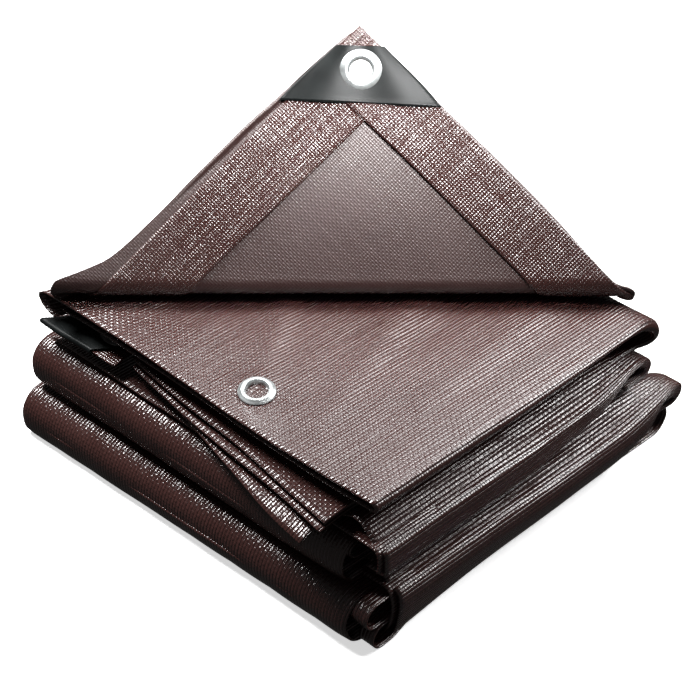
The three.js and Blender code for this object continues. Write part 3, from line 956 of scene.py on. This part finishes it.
def flat_place(across, past):
    """The same point's place on the flat cloth, along its two edges."""
    return ((across + past) / sqrt(2) / 1000, (past - across) / sqrt(2) / 1000)


def turned_down(place):
    """The ply's right-hand end and back edge, turned down over the plies below."""
    x, y, z = place
    if x > right_turn_start:
        turn = min(pi * 0.75, (x - right_turn_start) / right_turn_radius)
        x = right_turn_start + right_turn_radius * right_turn_reach * sin(turn)
        z -= right_turn_radius * (1 - cos(turn))
    if y > back_turn_start:
        turn = min(pi, (y - back_turn_start) / back_turn_radius)
        y = back_turn_start + back_turn_radius * back_turn_reach * sin(turn)
        z -= back_turn_radius * (1 - cos(turn))
    return Vector((x, y, z))


def edge_bead(inward, height):
    """How far the left-hand edge stands proud: a cord in the hem's fold, and the groove beside it."""
    strength = min(1, max(0, (height - 40) / 30)) * min(1, max(0, (136 - height) / 8))
    bead = 1.1 * exp(-((inward - 1.1) / 0.9) ** 2)
    groove = -1.3 * exp(-((inward - 3.3) / 1.0) ** 2)
    return (bead + groove) * strength


def parted(grid):
    """The rows, their points' places on the flat cloth and their places up the corner."""
    return [[[point[part] for point in line] for line in grid] for part in range(3)]


def flap_sheet_rows():
    step = 3.0
    grid = []
    pasts = (
        steps(-160, 0, step) + steps(0, crease_length, 1.6)[1:]
        + steps(crease_length, crease_length + flap_tip_height - 0.3, step)[1:]
    )
    beside_edge = [0, 0.5, 1, 1.5, 2.1, 2.8, 3.5, 4.2, 4.9, 5.6, 6.4, 7.4, 8.6]
    for past in pasts:
        height = past - crease_length
        left, right = read_off(flap_left_edge, height), read_off(flap_right_edge, height)
        if past <= -22:
            left, right = -190 - past * 0.94, 178 + past * 1.0
        width = right - left
        shrink = min(1, width / 40)
        places = [left + d * shrink for d in beside_edge]
        places += [between(places[-1], right, share) for share in steps(0, 1, 1 / 90)[1:]]
        line = []
        for across in places:
            proud = edge_bead((across - left) / sqrt(2), height) if height > 0 else 0
            line.append((flap_place(across, past, proud), flat_place(across, past), (across, height)))
        grid.append(line)
    return parted(grid)


def in_corner_hole(across, height, margin=0):
    aside, above = across - corner_eyelet_place[0], height - corner_eyelet_place[1]
    return aside ** 2 + above ** 2 < (corner_hole_cut + margin) ** 2


def holed(piece, spots):
    """Opens the corner eyelet's hole: takes out the faces that reach into it."""
    columns = len(spots[0])
    mesh = bmesh.new()
    mesh.from_mesh(piece.data)
    inside = set()
    for number, vert in enumerate(mesh.verts):
        if in_corner_hole(*spots[number // columns][number % columns]):
            inside.add(vert)
    taken = [face for face in mesh.faces if any(vert in inside for vert in face.verts)]
    bmesh.ops.delete(mesh, geom=taken, context="FACES")
    mesh.to_mesh(piece.data)
    mesh.free()


flap_rows, flap_flat, flap_spots = flap_sheet_rows()
flap = laid_cloth("flap", flap_rows, smooth_weave, flat=flap_flat)
holed(flap, flap_spots)
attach(flap, "root")
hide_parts("tarp_cloth", "flap_corner")

# Flap hems
# The sheet's edges, turned over once and welded down: two bands on the flap's near face. The
# right-hand band lies over the end of the left-hand one, and each ends in a fine seam.
checked_cloth = coated_weave("checked_cloth", pitch=0.0018, along_ribs=0.8, across_ribs=0.7,
                             relief=0.00027, gloss=0.25, wander_size=0.0003)
hem_gauge = 0.55
hem_bands = {
    "right_hem": {
        "seam": [(-200, 96.9), (0, 96.9), (80, 95.4), (98, 95.0)],
        "outer": 146.6, "side": 1, "proud": 1.9, "ends": (-176, 136),
    },
    "left_hem": {
        "seam": [(-120, 81.8), (-58, 81.8), (23, 79.6), (94, 79.2)],
        "outer": 134.2, "side": -1, "proud": 1.2, "ends": (-182, 100),
    },
}
for name, band in hem_bands.items():
    side = band["side"]
    grid = []
    for along_edge in steps(band["ends"][1], band["ends"][0], 3):
        line = []
        seam = read_off(band["seam"], along_edge)
        for share in steps(0, 1, 1 / 20):
            from_seam = between(seam, band["outer"], share)
            across = side * (from_seam - along_edge) / 2
            height = (from_seam + along_edge) / 2
            if side < 0:
                edge = read_off(flap_left_edge, height)
                across = max(across, edge + between(0, 0.3, share))
            else:
                across = min(across, read_off(flap_right_edge, height) - between(0, 0.3, share))
            past = max(height + crease_length, -6)
            place = flap_place(across, past, band["proud"])
            line.append((place, flat_place(across, past), (across, height)))
        grid.append(line)
    hem_rows, hem_flat, hem_spots = parted(grid)
    hem = laid_cloth(name, hem_rows, checked_cloth, gauge=hem_gauge, flat=hem_flat)
    holed(hem, hem_spots)
    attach(hem, "root")
    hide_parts("tarp_cloth")

# Top corner patch
# A black moulded plastic patch folded round the corner of the sheet and clamped by the eyelet. It
# is glossy and slightly wavy, and its lower rim is thick and rounded.
deep_black = (0.0035, 0.0042, 0.0042, 1)
worn_black = (0.008, 0.0095, 0.0095, 1)
black_gloss, gloss_shader = clouded_finish(
    "black_gloss", deep_black, worn_black, cloud_scale=45, roughness=(0.30, 0.40),
    grain_scale=1500, grain_detail=2, depth=0.00004, strength=0.35,
)
gloss_shader.inputs["Specular IOR Level"].default_value = 0.1

# The patch's outline: heights of its rows at the left and the right, with how far it reaches.
patch_rim_left, patch_rim_right = (-39.6, 99.6), (51.6, 95.0)
patch_top_left, patch_top_right = (-8.1, 130.1), (19.6, 129.2)
patch_bow = 1.4


def patch_point(across_share, up_share):
    low = Vector(patch_rim_left).lerp(Vector(patch_rim_right), across_share)
    high = Vector(patch_top_left).lerp(Vector(patch_top_right), across_share)
    bowed = patch_bow * sin(pi * min(1, up_share * 1.15)) * (abs(2 * across_share - 1) ** 6)
    spot = low.lerp(high, up_share)
    return spot.x + bowed * (1 if across_share > 0.5 else -1) * 0.7, spot.y


def patch_swell(across_share, up_share):
    """Soft waves across the moulded patch."""
    return 0.55 * sin(2 * pi * (across_share * 1.9 - 0.28)) * (1 - 0.55 * up_share)


def corner_patch(name, place, face=2.0, wall=1.0):
    """A sleeve round the sheet's corner, closed at its lower rim, from place(across, height, out)."""
    rows, spots = [], []
    shares = [0, 0.002, 0.006, 0.014, 0.03] + steps(0.05, 0.95, 0.02) + [0.97, 0.986, 0.994, 0.998, 1]
    for up in [-0.012, -0.02, -0.012, 0.0, 0.02, 0.05] + steps(0.09, 0.98, 0.045) + [0.995, 1.0]:
        rim = {-0.012: 0.35, -0.02: 0.62, 0.0: 1.1, 0.02: 1.12, 0.05: 1.04}.get(up, 1.0)
        if not rows:
            rim = 0.2
        line, spot_line = [], []
        for share in shares:
            across, height = patch_point(share, max(0, up))
            height += min(0, up) * 34
            rounded = min(1, max(0, min(share, 1 - share) / 0.016)) ** 0.45
            out = (face * rim + patch_swell(share, up)) * rounded
            line.append((across, height, out))
            spot_line.append((across, height))
        back = [(across, height, -face * 0.8 * min(1, max(0, min(number, len(line) - 1 - number)) / 3))
                for number, (across, height, out) in reversed(list(enumerate(line)))]
        rows.append([Vector(place(*point)) for point in line + back[1:-1]])
        spots.append(spot_line + [(across, height) for across, height, out in back[1:-1]])
    mesh = bmesh.new()
    points = [[mesh.verts.new(in_frame(*point)) for point in row] for row in rows]
    count = len(points[0])
    for row in range(len(points) - 1):
        for column in range(count):
            following = (column + 1) % count
            corners = [(row, column), (row, following), (row + 1, following), (row + 1, column)]
            if any(in_corner_hole(*spots[a][b], margin=0.6) for a, b in corners):
                continue
            face_made = mesh.faces.new([points[a][b] for a, b in corners])
            face_made.smooth = True
    bmesh.ops.recalc_face_normals(mesh, faces=mesh.faces)
    patch = made_piece(name, mesh, black_gloss)
    thicken(patch, "plastic thickness", wall, -1)
    return patch


def on_flap(across, height, out):
    return flap_place(across, height + crease_length) + flap_out * (out + 0.9)


top_patch = corner_patch("top_patch", on_flap)
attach(top_patch, "root")
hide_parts("top_corner_patch")

# Top corner eyelet
# The same pressed, zinc-plated eyelet, a size larger. It goes through the patch and the sheet's corner, and
# clamps them together.


def top_eyelet_at(across, up, out):
    middle = on_flap(corner_eyelet_place[0], corner_eyelet_place[1], 0)
    return middle + along_crease * across + flap_up * up + flap_out * out


top_ring = pressed_eyelet("top_ring", top_eyelet_at, outer=24.2, hole=12.6, grip=1.9, dome=1.9)
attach(top_ring, "root")
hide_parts("top_corner_eyelet")

# Side corner
# Another corner of the sheet, which lies flat and slides out at the left between the fanned plies,
# with its own patch and eyelet and the tip of the cloth beyond them.
side_eyelet_place = Vector((-110.5, 76.3, 77.0))
side_origin = (
    side_eyelet_place - along_crease * corner_eyelet_place[0] - out_of_crease * corner_eyelet_place[1]
)


def on_side(across, height, out):
    droop = 1.5 * max(0, (height - 118) / 25) ** 2
    return side_origin + along_crease * across + out_of_crease * height + Vector((0, 0, out - droop))


# Where its two edges lie, by height up the corner.
side_left_edge = [
    (46, 14), (70, -4), (88, -22), (98, -33), (110, -27.5), (122, -15.6), (132, -5.2), (138, 1),
    (141.6, 5.0),
]
side_right_edge = [
    (46, 22), (70, 38), (88, 52), (98, 44), (110, 34), (122, 24), (132, 14), (138, 9.8), (141.6, 7.0),
]
grid = []
for height in steps(46, 141.6, 2.2):
    left, right = read_off(side_left_edge, height), read_off(side_right_edge, height)
    grid.append([
        (on_side(across, height, 0), flat_place(across, height), (across, height))
        for across in steps(left, right, (right - left) / 30)
    ])
side_rows, side_flat, side_spots = parted(grid)
side_cloth = laid_cloth("side_cloth", side_rows, checked_cloth, gauge=1.2, flat=side_flat)
holed(side_cloth, side_spots)
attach(side_cloth, "root")
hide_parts("tarp_cloth", "side_corner")

side_patch = corner_patch("side_patch", on_side, face=1.5, wall=0.9)
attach(side_patch, "root")
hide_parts("side_corner_patch")


def side_eyelet_at(across, up, out):
    return side_eyelet_place + along_crease * across + out_of_crease * up + Vector((0, 0, out))


side_ring = pressed_eyelet("side_ring", side_eyelet_at, outer=24.2, hole=12.6, grip=1.6, dome=1.5)
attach(side_ring, "root")
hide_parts("side_corner_eyelet")
